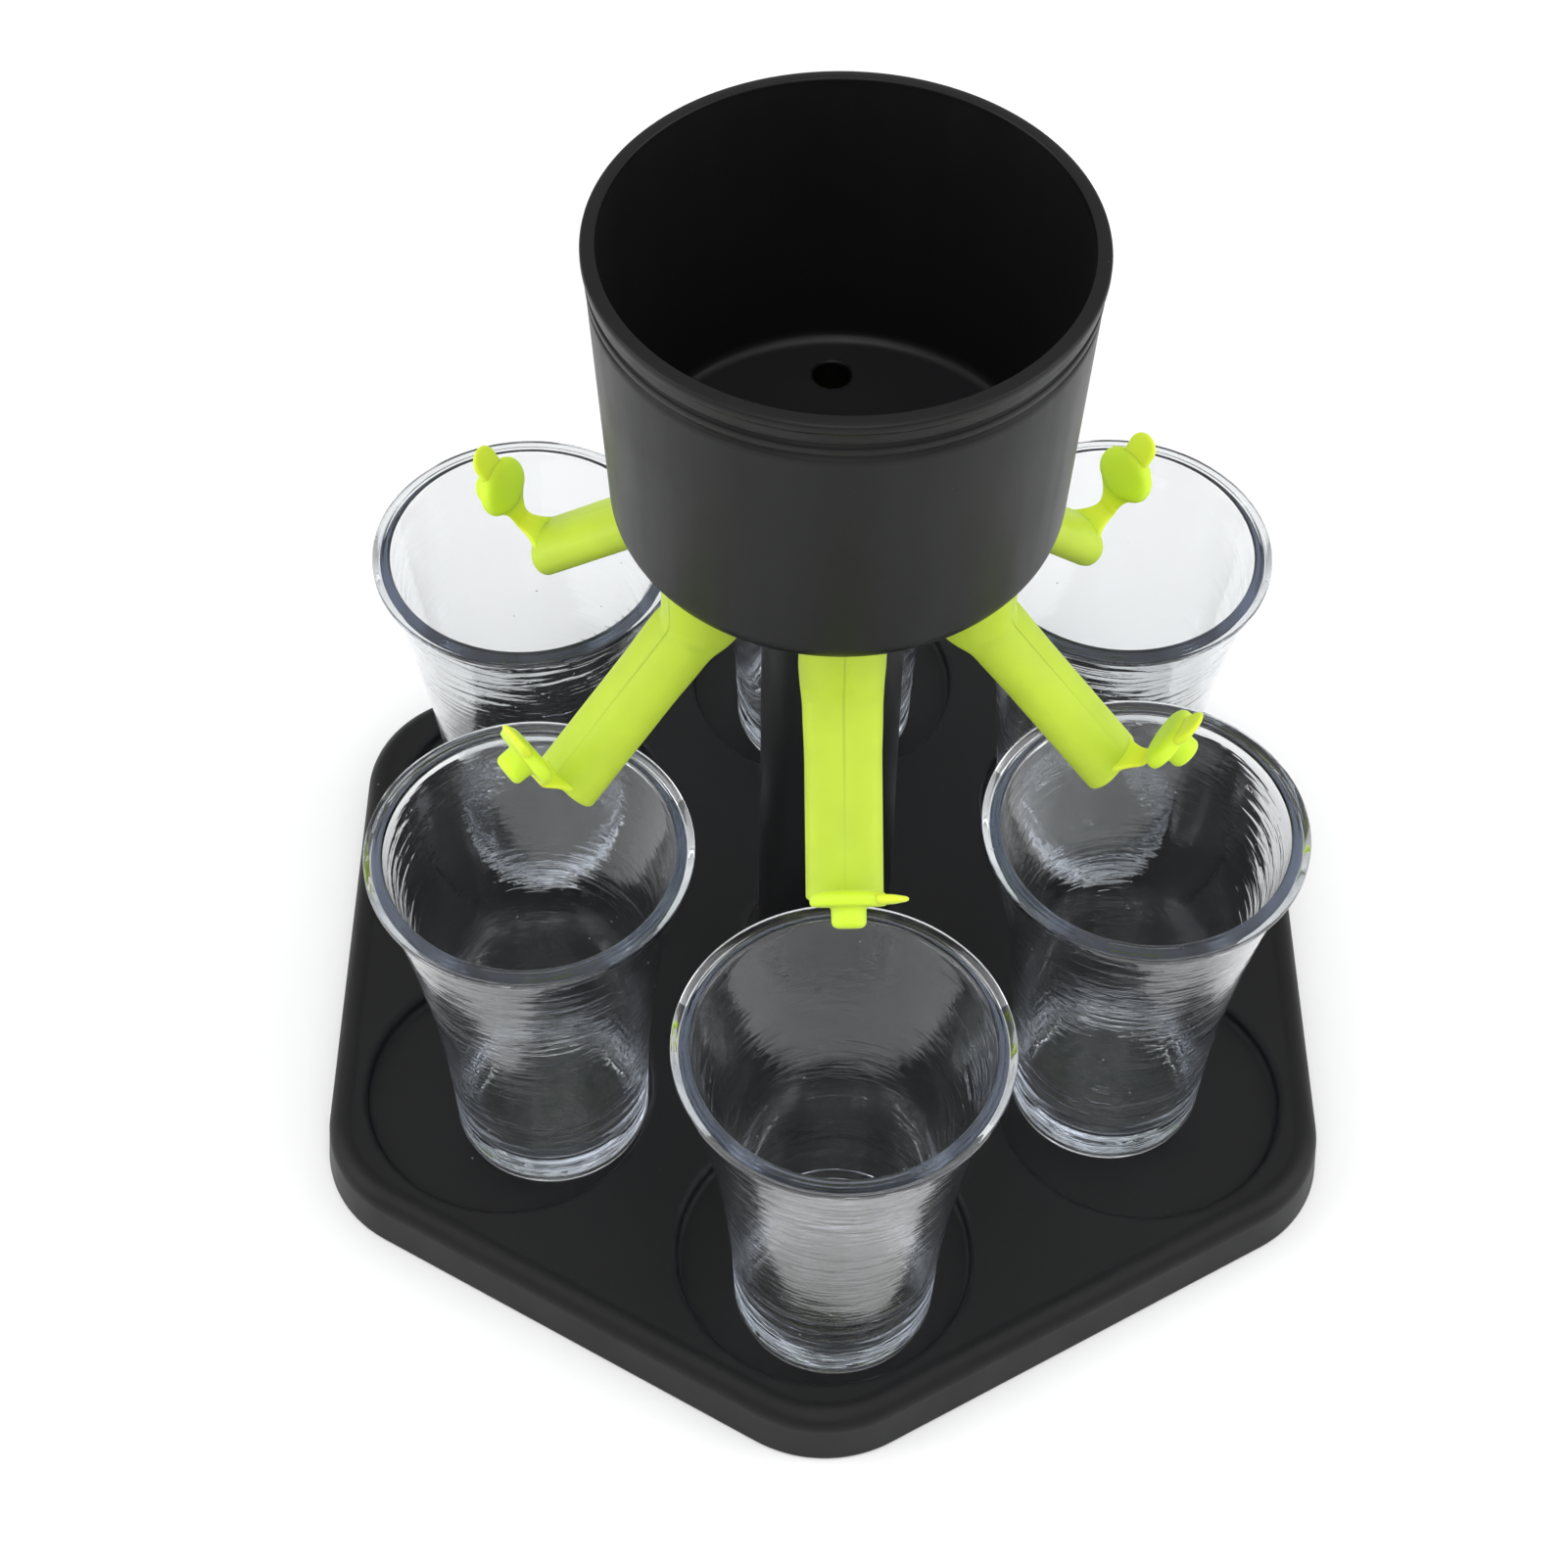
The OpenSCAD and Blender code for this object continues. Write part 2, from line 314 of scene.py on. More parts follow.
def specks(nt, vec, scale, size, share):
    """Sparse dust: a dot in a few of the cells, size being its radius as a share of a cell."""
    v = nt.nodes.new("ShaderNodeTexVoronoi")
    v.feature = "F1"
    v.inputs["Scale"].default_value = scale
    nt.links.new(vec, v.inputs["Vector"])
    dot = ramp(nt, v.outputs["Distance"], size * 0.55, size, 1.0, 0.0)
    sep = nt.nodes.new("ShaderNodeSeparateColor")
    nt.links.new(v.outputs["Color"], sep.inputs["Color"])
    chosen = maths(nt, "LESS_THAN", sep.outputs[0], share)
    return maths(nt, "MULTIPLY", dot, chosen)


def black_plastic(name, base, rough, rough_span, turned=False, grain=1.0, gloss=0.4):
    m, nt, p, _ = nodes_of(name)
    tc = nt.nodes.new("ShaderNodeTexCoord")
    vec = tc.outputs["Object"]
    cloud = noise(nt, vec, 55.0, 3.0, 0.55)
    streak = noise(nt, mapped(nt, vec, (260, 260, 14) if turned else (130, 130, 130)), 1.0, 2.0)
    dust = specks(nt, vec, 210.0, 0.045, 0.035)
    fine = specks(nt, mapped(nt, vec, (1, 1, 1), (0.5, 0.3, 0.9)), 520.0, 0.06, 0.02)
    tone = mix_colour(nt, cloud, tuple(c * 0.86 for c in base), tuple(c * 1.16 for c in base))
    tone = mix_colour(nt, maths(nt, "MULTIPLY", dust, 0.55), tone, (0.42, 0.42, 0.43))
    tone = mix_colour(nt, maths(nt, "MULTIPLY", fine, 0.35), tone, (0.3, 0.3, 0.31))
    # painted light: faces tagged inside the reservoir get a colour 3.2 times paler, standing in for light the lamps
    # don't bring into the bowl
    att = nt.nodes.new("ShaderNodeAttribute")
    att.attribute_name = "thin_tint_and_painted_light"
    tone = mix_colour(nt, att.outputs["Fac"], tone, tuple(c * 3.2 for c in base))
    nt.links.new(tone, p.inputs["Base Color"])
    r = maths(nt, "ADD", ramp(nt, cloud, 0.3, 0.7, rough, rough + rough_span), ramp(nt, streak, 0.35, 0.7, -0.02, 0.03))
    nt.links.new(maths(nt, "ADD", r, maths(nt, "MULTIPLY", dust, 0.3)), p.inputs["Roughness"])
    grain_h = noise(nt, vec, 2600.0, 2.0, 0.6)
    swell = noise(nt, vec, 90.0, 1.0)
    n = bump(nt, grain_h, 0.12 * grain, 0.00005)
    n = bump(nt, swell, 0.10, 0.0003, n)
    n = bump(nt, dust, 0.5, 0.00008, n)
    nt.links.new(n, p.inputs["Normal"])
    p.inputs["Specular IOR Level"].default_value = gloss
    p.inputs["IOR"].default_value = 1.5
    return m


def lime_silicone(name, base, thin_tint_and_painted_light, line=False):
    m, nt, p, _ = nodes_of(name)
    tc = nt.nodes.new("ShaderNodeTexCoord")
    vec = tc.outputs["Object"]
    cloud = noise(nt, vec, 120.0, 2.0, 0.5)
    flow = noise(nt, mapped(nt, vec, (60, 60, 240)), 1.0, 2.0)
    tone = mix_colour(nt, ramp(nt, cloud, 0.3, 0.7), tuple(c * 0.95 for c in base), tuple(min(1.0, c * 1.04) for c in base))
    tone = mix_colour(nt, ramp(nt, flow, 0.45, 0.75, 0.0, 0.12), tone, tuple(min(1.0, c * 1.15) for c in base))
    att = nt.nodes.new("ShaderNodeAttribute")
    att.attribute_name = "thin_tint_and_painted_light"
    tone = mix_colour(nt, att.outputs["Fac"], tone, thin_tint_and_painted_light)
    speck = specks(nt, vec, 160.0, 0.03, 0.02)
    tone = mix_colour(nt, maths(nt, "MULTIPLY", speck, 0.8), tone, (0.1, 0.14, 0.02))
    grain_h = noise(nt, vec, 1500.0, 3.0, 0.6)
    n = bump(nt, grain_h, 0.10, 0.00006)
    n = bump(nt, cloud, 0.12, 0.0004, n)
    if line:
        lat = nt.nodes.new("ShaderNodeAttribute")
        lat.attribute_name = "lateral"
        along = nt.nodes.new("ShaderNodeAttribute")
        along.attribute_name = "along"
        seam = ramp(nt, maths(nt, "ABSOLUTE", lat.outputs["Fac"]), 0.05, 0.22, 1.0, 0.0)
        fade = ramp(nt, along.outputs["Fac"], 10.0, 26.0, 1.0, 0.25)
        seam = maths(nt, "MULTIPLY", seam, fade)
        tone = mix_colour(nt, maths(nt, "MULTIPLY", seam, 0.55), tone, tuple(c * 0.68 for c in base))
        n = bump(nt, seam, 0.8, 0.0001, n)
    nt.links.new(tone, p.inputs["Base Color"])
    nt.links.new(n, p.inputs["Normal"])
    nt.links.new(ramp(nt, cloud, 0.3, 0.7, 0.44, 0.56), p.inputs["Roughness"])
    p.inputs["Subsurface Weight"].default_value = 0.28
    p.inputs["Subsurface Radius"].default_value = (1.0, 1.0, 0.25)
    p.inputs["Subsurface Scale"].default_value = 0.0016
    p.inputs["IOR"].default_value = 1.42
    p.inputs["Sheen Weight"].default_value = 0.2
    p.inputs["Sheen Roughness"].default_value = 0.4
    p.inputs["Sheen Tint"].default_value = (0.85, 1.0, 0.45, 1.0)
    return m


def clear_plastic(name):
    m, nt, p, out = nodes_of(name)
    tc = nt.nodes.new("ShaderNodeTexCoord")
    vec = tc.outputs["Object"]
    ripple = noise(nt, mapped(nt, vec, (70, 70, 420)), 1.0, 2.0, 0.55, 0.6)
    turned = noise(nt, mapped(nt, vec, (22, 22, 1050)), 1.0, 2.0, 0.55, 0.3)
    wave = noise(nt, vec, 46.0, 1.0)
    scratch = noise(nt, mapped(nt, vec, (900, 120, 500), (0.3, 0.5, 0.2)), 1.0, 2.0, 0.6)
    scratch = ramp(nt, scratch, 0.66, 0.74)
    dust = specks(nt, vec, 240.0, 0.06, 0.16)
    n = bump(nt, ripple, 0.14, 0.0005)
    n = bump(nt, turned, 0.15, 0.00012, n)
    n = bump(nt, wave, 0.18, 0.0012, n)
    n = bump(nt, scratch, 0.12, 0.00008, n)
    n = bump(nt, dust, 0.6, 0.0001, n)
    nt.links.new(n, p.inputs["Normal"])
    r = maths(nt, "ADD", ramp(nt, wave, 0.3, 0.7, 0.003, 0.014), maths(nt, "MULTIPLY", scratch, 0.10))
    r = maths(nt, "ADD", r, maths(nt, "MULTIPLY", dust, 0.5))
    nt.links.new(r, p.inputs["Roughness"])
    p.inputs["Base Color"].default_value = (0.862, 0.874, 0.88, 1.0)
    p.inputs["IOR"].default_value = 1.52
    p.inputs["Transmission Weight"].default_value = 1.0
    p.inputs["Specular IOR Level"].default_value = 0.5
    # lamps reach what stands behind the glass
    clear = nt.nodes.new("ShaderNodeBsdfTransparent")
    clear.inputs["Color"].default_value = (0.9, 0.92, 0.94, 1.0)
    path = nt.nodes.new("ShaderNodeLightPath")
    mix = nt.nodes.new("ShaderNodeMixShader")
    nt.links.new(path.outputs["Is Shadow Ray"], mix.inputs[0])
    nt.links.new(p.outputs["BSDF"], mix.inputs[1])
    nt.links.new(clear.outputs["BSDF"], mix.inputs[2])
    nt.links.new(mix.outputs["Shader"], out.inputs["Surface"])
    vol = nt.nodes.new("ShaderNodeVolumeAbsorption")
    vol.inputs["Color"].default_value = (0.40, 0.51, 0.72, 1.0)
    vol.inputs["Density"].default_value = 11.0
    nt.links.new(vol.outputs["Volume"], out.inputs["Volume"])
    return m


TRAY_MAT = black_plastic("tray_black", (0.0072, 0.0072, 0.0075), 0.44, 0.08, False, 1.0, 0.21)
POST_MAT = black_plastic("post_black", (0.0048, 0.0048, 0.0051), 0.32, 0.07, True, 0.6, 0.26)
CUP_MAT = black_plastic("reservoir_black", (0.0050, 0.0050, 0.0055), 0.36, 0.07, True, 0.8, 0.24)
LIME = (0.50, 0.66, 0.040)
LIME_THIN = (0.60, 0.69, 0.028)
LIME_ARM = lime_silicone("nozzle_lime", LIME, LIME_THIN, line=True)
LIME_CAP = lime_silicone("cap_lime", (0.60, 0.83, 0.030), (0.74, 0.87, 0.040))
CLEAR = clear_plastic("glass_clear")


# ---------------------------------------------------------------- tray
def outline(inset, n_arc=18):
    """The rounded six-sided outline, inset by a distance, as the same number of points every time."""
    pts = []
    r = CORNER_R - inset
    away = (TRAY_W / 2 - CORNER_R) / math.cos(math.radians(30))
    for k in range(6):
        a = 30 + 60 * k
        cx, cy = away * math.cos(math.radians(a)), away * math.sin(math.radians(a))
        for j in range(n_arc + 1):
            b = math.radians(a - 30 + 60 * j / n_arc)
            pts.append((cx + r * math.cos(b), cy + r * math.sin(b)))
    return pts


def tray_shell():
    s = Shell()
    wells = [
        (RECESS_RING * math.cos(math.radians(a)), RECESS_RING * math.sin(math.radians(a))) for a in AZ
    ]
    n_c = 96
    deck_z, lip_w, lip_d = 10.7, 1.2, 1.3
    # outside: foot with a small rounding, flared skirt, shoulder rounding
    foot = [(0.35, 0.0), (0.1, 0.1), (0.0, 0.35)]
    skirt_top = TRAY_H - DECK_RND
    side = [(FLARE * t, 0.35 + (skirt_top - 0.35) * t) for t in (0.06, 0.5, 0.94, 1.0)]
    shoulder = [
        (FLARE + DECK_RND - DECK_RND * math.cos(math.radians(a)), skirt_top + DECK_RND * math.sin(math.radians(a)))
        for a in range(6, 79, 6)
    ]
    # a low bead runs round the edge, and the deck lies a little below it
    shoulder += [(3.85, 10.95), (4.1, 10.945), (4.4, 10.9), (4.7, 10.82), (4.95, 10.75), (5.15, 10.715), (5.35, deck_z)]
    outer = [s.ring([(x, y, z) for x, y in outline(d)]) for d, z in foot + side + shoulder]
    for a, b in zip(outer, outer[1:]):
        s.bridge(a, b)
    loops = [outline(5.35), outline(5.5)]
    for cx, cy in wells:
        loops += [circle(cx, cy, RECESS_R + lip_w, n_c), circle(cx, cy, RECESS_R + lip_w + 0.3, n_c)]
    loops += [circle(0, 0, 16.6, n_c), circle(0, 0, 17.0, n_c)]

    def on_deck(x, y):
        return math.hypot(x, y) > 16.6 * 0.9995 and all(
            math.hypot(x - cx, y - cy) > (RECESS_R + lip_w) * 0.9995 for cx, cy in wells
        )

    sheet_between(s, loops, deck_z, on_deck)
    recess = (
        [
            (RECESS_R + lip_w - lip_w * math.sin(math.radians(a)), deck_z - lip_d + lip_d * math.cos(math.radians(a)))
            for a in range(0, 91, 9)
        ]
        + arc(RECESS_R - 1, RECESS_Z + 1, 1, 0, -90, 8)
        + [(RECESS_R - 1.4, RECESS_Z), (16.0, RECESS_Z), (8.0, RECESS_Z), (0, RECESS_Z)]
    )
    for cx, cy in wells:
        lathe(recess, n_c, (cx, cy), shell=s)
    seat = (
        arc(16.6, 13.6, 13.6 - deck_z, -90, -172, 8)
        + [(BORE - 0.2 + 0.3, COLLAR_Z), (BORE - 0.2, COLLAR_Z), (BORE - 0.2, COLLAR_Z + 0.3)]
        + [(BORE - 0.2, 30.0), (BORE - 0.6, 30.8), (BORE - 2.2, 30.8), (BORE - 2.2, 30.4), (BORE - 2.2, TRAY_H + 0.3), (BORE - 2.2, TRAY_H), (BORE - 2.6, TRAY_H), (0, TRAY_H)]
    )
    lathe(seat, n_c, shell=s)
    # inside: foot land, inner skirt, ceiling with the six wells hanging below it
    top_in = TRAY_H - TRAY_T
    inner_side = [(0.35, 0.0), (TRAY_T - 0.3, 0.0), (TRAY_T, 0.3)] + [
        (TRAY_T + FLARE * t, 0.3 + (top_in - 2.0 - 0.3) * t) for t in (0.5, 1.0)
    ]
    inner_round = [
        (TRAY_T + FLARE + 2.0 - 2.0 * math.cos(math.radians(a)), top_in - 2.0 + 2.0 * math.sin(math.radians(a)))
        for a in range(15, 91, 15)
    ]
    inner = [s.ring([(x, y, z) for x, y in outline(d)]) for d, z in inner_side + inner_round]
    for a, b in zip(inner, inner[1:]):
        s.bridge(b, a)
    well_r = RECESS_R + TRAY_T
    ceiling = [outline(TRAY_T + FLARE + 2.0), outline(TRAY_T + FLARE + 2.4)]
    for cx, cy in wells:
        ceiling += [circle(cx, cy, well_r - 1.0, n_c), circle(cx, cy, well_r - 0.6, n_c)]

    def on_ceiling(x, y):
        return all(math.hypot(x - cx, y - cy) > (well_r - 1.0) * 0.9995 for cx, cy in wells)

    sheet_between(s, ceiling, top_in, on_ceiling)
    under = [(well_r - 1.0, top_in), (well_r - 1.0, top_in - 0.3), (well_r - 1.0, 6.2), (well_r - 1.4, 5.8), (well_r - 1.8, 5.8), (12.0, 5.8), (0, 5.8)]
    for cx, cy in wells:
        lathe(under, n_c, (cx, cy), shell=s)
    return s


piece("tray_moulding", tray_shell(), "base", TRAY_MAT, ["tray"], sharp=50)

# ---------------------------------------------------------------- post
post_profile = (
    [(BORE, COLLAR_Z + 0.3), (BORE + 0.3, COLLAR_Z), (POST_FOOT - 0.35, COLLAR_Z), (POST_FOOT - 0.1, COLLAR_Z + 0.1), (POST_FOOT, COLLAR_Z + 0.35)]
    + [(POST_FOOT + (POST_TOP - POST_FOOT) * t, COLLAR_Z + (CUP_BASE - COLLAR_Z) * t) for t in (0.02, 0.25, 0.5, 0.75, 0.98)]
    + [(POST_TOP, CUP_BASE - 0.3), (POST_TOP - 0.2, CUP_BASE), (BORE + 0.3, CUP_BASE), (BORE, CUP_BASE - 0.3)]
)
piece("post_tube", lathe(post_profile, 128, closed=True), "base", POST_MAT, ["post"], sharp=50)


# ---------------------------------------------------------------- reservoir
def reservoir_shell():
    s = Shell()
    turn = math.radians(CUP_TURN)
    holes = [
        (OUTLET_RING * math.cos(math.radians(a + CUP_TURN)), OUTLET_RING * math.sin(math.radians(a + CUP_TURN))) for a in AZ
    ]
    n = 192
    foot_r, wall_r, rnd = CUP_R - 2.5, CUP_R - 0.6, 4.5
    floor_z = CUP_BASE + FLOOR_T
    T = CUP_TOP
    outside = (
        arc(foot_r - rnd, CUP_BASE + rnd, rnd, -90, -2.2, 14)
        + [
            (foot_r + (wall_r - foot_r) * t, CUP_BASE + rnd + (T - 7.3 - CUP_BASE - rnd) * t)
            for t in (0.03, 0.25, 0.5, 0.75, 0.97)
        ]
        + [
            (wall_r - 0.02, T - 7.4), (wall_r - 0.12, T - 7.2), (CUP_R - 0.98, T - 7.06), (CUP_R - 1.15, T - 6.88), (CUP_R - 1.15, T - 6.5),
            (CUP_R - 0.98, T - 6.28), (CUP_R - 0.58, T - 6.12), (CUP_R - 0.47, T - 5.9), (CUP_R - 0.43, T - 5.1), (CUP_R - 0.52, T - 4.86),
            (CUP_R - 0.92, T - 4.72), (CUP_R - 1.08, T - 4.5), (CUP_R - 1.08, T - 4.08), (CUP_R - 0.9, T - 3.86), (CUP_R - 0.46, T - 3.7),
            (CUP_R - 0.34, T - 3.35), (CUP_R - 0.32, T - 2.2), (CUP_R - 0.26, T - 1.85), (CUP_R - 0.08, T - 1.65), (CUP_R, T - 1.4),
            (CUP_R, T - 0.72), (CUP_R - 0.06, T - 0.46), (CUP_R - 0.2, T - 0.3), (CUP_R - 0.42, T - 0.21), (CUP_R - 0.7, T - 0.15), (CUP_R - 1.1, T - 0.07),
        ]
    )
    lip_in = [(CUP_R - CUP_T + 0.4, T), (CUP_R - CUP_T + 0.24, T), (CUP_R - CUP_T + 0.07, T - 0.09), (CUP_R - CUP_T, T - 0.4)]
    floor_r = foot_r - CUP_T - 0.2
    inside = [
        (CUP_R - CUP_T + (floor_r + 0.1 - CUP_R + CUP_T) * t, T - 0.4 + (floor_z + 2.0 - T + 0.4) * t)
        for t in (0.02, 0.25, 0.5, 0.75, 0.97)
    ]
    cove = arc(floor_r - 2.0, floor_z + 2.0, 2.0, 0, -90, 10)
    body = outside + lip_in + inside + cove
    lathe(body, n, shell=s)
    first = len(outside) + len(lip_in)
    # painted light: the inside walls get the paler colour at 0.3, rising through the cove to full
    for k, ring in enumerate(s.rings):
        if k >= first:
            share = 0.3 if k < first + len(inside) else 0.3 + 0.7 * (k - first - len(inside)) / len(cove)
            for v in ring:
                s.tags[v] = share
    floor_from = len(s.v)
    # floor with six outlets, each with a small rounded edge
    n_h = 40
    edge = 0.45
    loops = [circle(0, 0, floor_r - 2.0, n), circle(0, 0, floor_r - 2.4, n)]
    for cx, cy in holes:
        loops += [circle(cx, cy, OUTLET_D / 2 + edge, n_h), circle(cx, cy, OUTLET_D / 2 + edge + 0.3, n_h)]
    sheet_between(
        s, loops, floor_z, lambda x, y: all(math.hypot(x - cx, y - cy) > (OUTLET_D / 2 + edge) * 0.998 for cx, cy in holes)
    )
    # painted light: the floor gets the full paler colour
    for v in range(floor_from, len(s.v)):
        s.tags[v] = 1.0
    nip_r, nip_z = OUTLET_D / 2 + 1.4, CUP_BASE - 6.5
    spout = (
        arc(OUTLET_D / 2 + edge, floor_z - edge, edge, 90, 180, 5)
        + [(OUTLET_D / 2, floor_z - 1.0), (OUTLET_D / 2, nip_z + 0.3), (OUTLET_D / 2 + 0.2, nip_z), (nip_r - 0.3, nip_z), (nip_r, nip_z + 0.3)]
        + [(nip_r, CUP_BASE - 0.3), (nip_r, CUP_BASE)]
    )
    for cx, cy in holes:
        lathe(spout, n_h, (cx, cy), shell=s)
    # underside
    base_r = foot_r - rnd
    loops = [circle(0, 0, base_r, n), circle(0, 0, base_r - 0.4, n), circle(0, 0, BORE - 0.2, 96), circle(0, 0, BORE + 0.2, 96)]
    for cx, cy in holes:
        loops += [circle(cx, cy, nip_r, n_h), circle(cx, cy, nip_r + 0.3, n_h)]
    sheet_between(
        s,
        loops,
        CUP_BASE,
        lambda x, y: math.hypot(x, y) > (BORE - 0.2) * 0.999
        and all(math.hypot(x - cx, y - cy) > nip_r * 0.998 for cx, cy in holes),
    )
    r1, r2, zb = BORE - 0.2, BORE - 2.2, CUP_BASE - 20
    lathe(
        [(r1, CUP_BASE), (r1, CUP_BASE - 0.4), (r1, zb + 0.8), (r1 - 0.5, zb), (r2 + 0.3, zb), (r2, zb + 0.3), (r2, CUP_BASE - 0.4), (r2, CUP_BASE), (r2 - 0.4, CUP_BASE), (0, CUP_BASE)],
        96,
        shell=s,
    )
    return s


piece("reservoir_bowl", reservoir_shell(), "reservoir", CUP_MAT, ["reservoir"], sharp=50)


# ---------------------------------------------------------------- nozzles
def oval_radius(w, h, phi):
    """Distance from the middle of the oval section to its edge; phi 0 is along its height."""
    c, s = abs(math.cos(phi)), abs(math.sin(phi))
    end_r = 0.4 * h
    end_y = w / 2 - end_r
    if end_y < 1e-6 or abs(w - h) < 1e-6:
        return h / 2
    arc_r = (end_y * end_y + h * h / 4 - end_r * end_r) / (h - 2 * end_r)
    join_y = end_y * arc_r / (arc_r - end_r)
    off = h / 2 - arc_r
    b = -c * off
    t = -b + math.sqrt(max(0.0, b * b - (off * off - arc_r * arc_r)))
    if t * s <= join_y:
        return t
    b = -s * end_y
    return -b + math.sqrt(max(0.0, b * b - (end_y * end_y - end_r * end_r)))


def section(w, h, n):
    out = []
    for k in range(n):
        phi = 2 * math.pi * k / n
        r = oval_radius(w, h, phi)
        out.append((r * math.cos(phi), r * math.sin(phi)))
    return out


def ease(t):
    t = min(1.0, max(0.0, t))
    return t * t * (3 - 2 * t)


def nozzle(i):
    """Socket, bend and arm as one skin. The rings of the bend lie in planes that fan out from the hollow of the bend."""
    s = Shell()
    n = 64
    dip = DIP[i]
    dr = math.radians(dip)
    fil = 2.6
    half = ARM_H / 2
    n_up, d = np.array((math.sin(dr), math.cos(dr))), np.array((math.cos(dr), -math.sin(dr)))
    elbow = np.array((0.0, ELBOW_Z))
    pz = ELBOW_Z + (half + fil - (SOCKET_R + fil) * math.sin(dr)) / math.cos(dr)
    pivot = np.array((SOCKET_R + fil, pz))
    theta = 90 - dip
    low_z, rnd = ELBOW_Z - 5.5, 4.0

    def reach(phi):
        """From the pivot to the far side of the socket or of the arm, whichever is further."""
        c, sn = math.cos(math.radians(phi)), math.sin(math.radians(phi))
        arm = (ARM_H + fil) / math.sin(math.radians(phi + dip))
        box = (2 * SOCKET_R + fil) / c
        if sn > 1e-6:
            box = min(box, (pz - low_z) / sn)
        q = pivot + np.array((-c, -sn)) * box
        k = np.array((-SOCKET_R + rnd, low_z + rnd))
        if q[0] < k[0] and q[1] < k[1]:
            m = pivot - k
            e = np.array((-c, -sn))
            bq = m @ e
            box = -bq + math.sqrt(max(0.0, bq * bq - (m @ m - rnd * rnd)))
        return max(arm, box)

    steps = 22
    phis = [theta * k / steps for k in range(steps + 1)]
    far = np.array([reach(p) for p in phis])
    for _ in range(14):
        far[1:-1] = 0.25 * far[:-2] + 0.5 * far[1:-1] + 0.25 * far[2:]
    s_end = float((pivot - elbow) @ d)
    bend_len = math.radians(theta) * (fil + 4.5)
    rings, lateral, along = [], [], []

    def put(centre, down, w, h, at):
        pts = []
        for x, y in section(w, h, n):
            q = centre + down * x
            pts.append((q[0], y, q[1]))
            lateral.append(y)
            along.append(at)
        rings.append(s.ring(pts))

    side = np.array((-1.0, 0.0))
    under = -n_up

    def up_ring(z, grow=0.0, r=None):
        r = SOCKET_R if r is None else r
        put(np.array((0.0, z)), side, 2 * (r + grow), 2 * (r + grow), pz - z)

    def bend_ring(k, bore=None):
        phi = phis[k]
        t = phi / theta
        e = np.array((-math.cos(math.radians(phi)), -math.sin(math.radians(phi))))
        th = far[k] - fil
        if bore:
            put(pivot + e * (fil + SOCKET_R + (half - SOCKET_R) * ease(t)), e, bore, bore, bend_len * t)
        else:
            put(pivot + e * (fil + th / 2), e, 2 * SOCKET_R + (ARM_W + 0.45 - 2 * SOCKET_R) * ease(t), th, bend_len * t)

    def arm_ring(at, grow=0.0, w=None, h=None):
        if w is None:
            w = ARM_W + 0.45 * (1 - ease((at - s_end) / 8.0)) + 2 * grow
            h = ARM_H + 2 * grow
        put(elbow + d * at, under, w, h, bend_len + at - s_end)

    top = CUP_BASE - 0.05
    up_ring(top, -0.35)
    up_ring(top - 0.1, -0.1)
    up_ring(top - 0.35)
    for t in (0.33, 0.66):
        up_ring(top - 0.35 + (pz + 0.4 - top + 0.35) * t)
    up_ring(pz + 0.4)
    for k in range(steps + 1):
        bend_ring(k)
    fillet = 0.75
    for k in range(1, 15):
        arm_ring(s_end + (ARM_LEN - fillet - s_end) * k / 14)
    for a in (12, 26, 42, 60, 76, 90):
        arm_ring(ARM_LEN - fillet + fillet * math.sin(math.radians(a)), -fillet * (1 - math.cos(math.radians(a))))
    # mouth face to the bore, with a small rounded edge, then back up the bore
    arm_ring(ARM_LEN, 0, ARM_BORE + 1.3, ARM_BORE + 0.7)
    arm_ring(ARM_LEN, 0, ARM_BORE + 0.6, ARM_BORE + 0.6)
    arm_ring(ARM_LEN - 0.1, 0, ARM_BORE + 0.15, ARM_BORE + 0.15)
    arm_ring(ARM_LEN - 0.35, 0, ARM_BORE, ARM_BORE)
    for k in range(13, 0, -1):
        arm_ring(s_end + (ARM_LEN - 0.35 - s_end) * k / 14, 0, ARM_BORE, ARM_BORE)
    for k in range(steps, -1, -2):
        bend_ring(k, OUTLET_D)
    nip_z, nip_r = CUP_BASE - 6.55, OUTLET_D / 2 + 1.425
    up_ring(nip_z - 0.1, 0, OUTLET_D / 2)
    up_ring(nip_z, 0, OUTLET_D / 2 + 0.1)
    up_ring(nip_z, 0, nip_r - 0.1)
    up_ring(nip_z + 0.1, 0, nip_r)
    up_ring(top - 0.3, 0, nip_r)
    up_ring(top, 0, nip_r + 0.15)
    for a, b in zip(rings, rings[1:] + rings[:1]):
        s.bridge(a, b)
    s.v = [tuple(p) for p in moved(s.v, at_outlet(i))]
    return s, lateral, along


def strip(lengths):
    """A soft-edged strip: each entry is (x, z, half width, half thickness, angle) in the arm's frame."""
    s = Shell()
    rings = []
    for x, z, hw, ht, ang, tag in lengths:
        nx, nz = -math.sin(math.radians(ang)), math.cos(math.radians(ang))
        pts = []
        m = 28
        for k in range(m):
            a = 2 * math.pi * k / m
            e = 0.32
            yy = hw * math.copysign(abs(math.cos(a)) ** e, math.cos(a))
            tt = ht * math.copysign(abs(math.sin(a)) ** 0.62, math.sin(a))
            pts.append((x + nx * tt, yy, z + nz * tt))
        rings.append(s.ring(pts, tag))
    for a, b in zip(rings, rings[1:]):
        s.bridge(a, b)
    for r in (rings[0], rings[-1]):
        c = np.mean([s.v[k] for k in r], axis=0)
        tag = s.tags[r[0]]
        s.fan(r, tuple(c), tag, flip=(r is rings[0]))
    return s


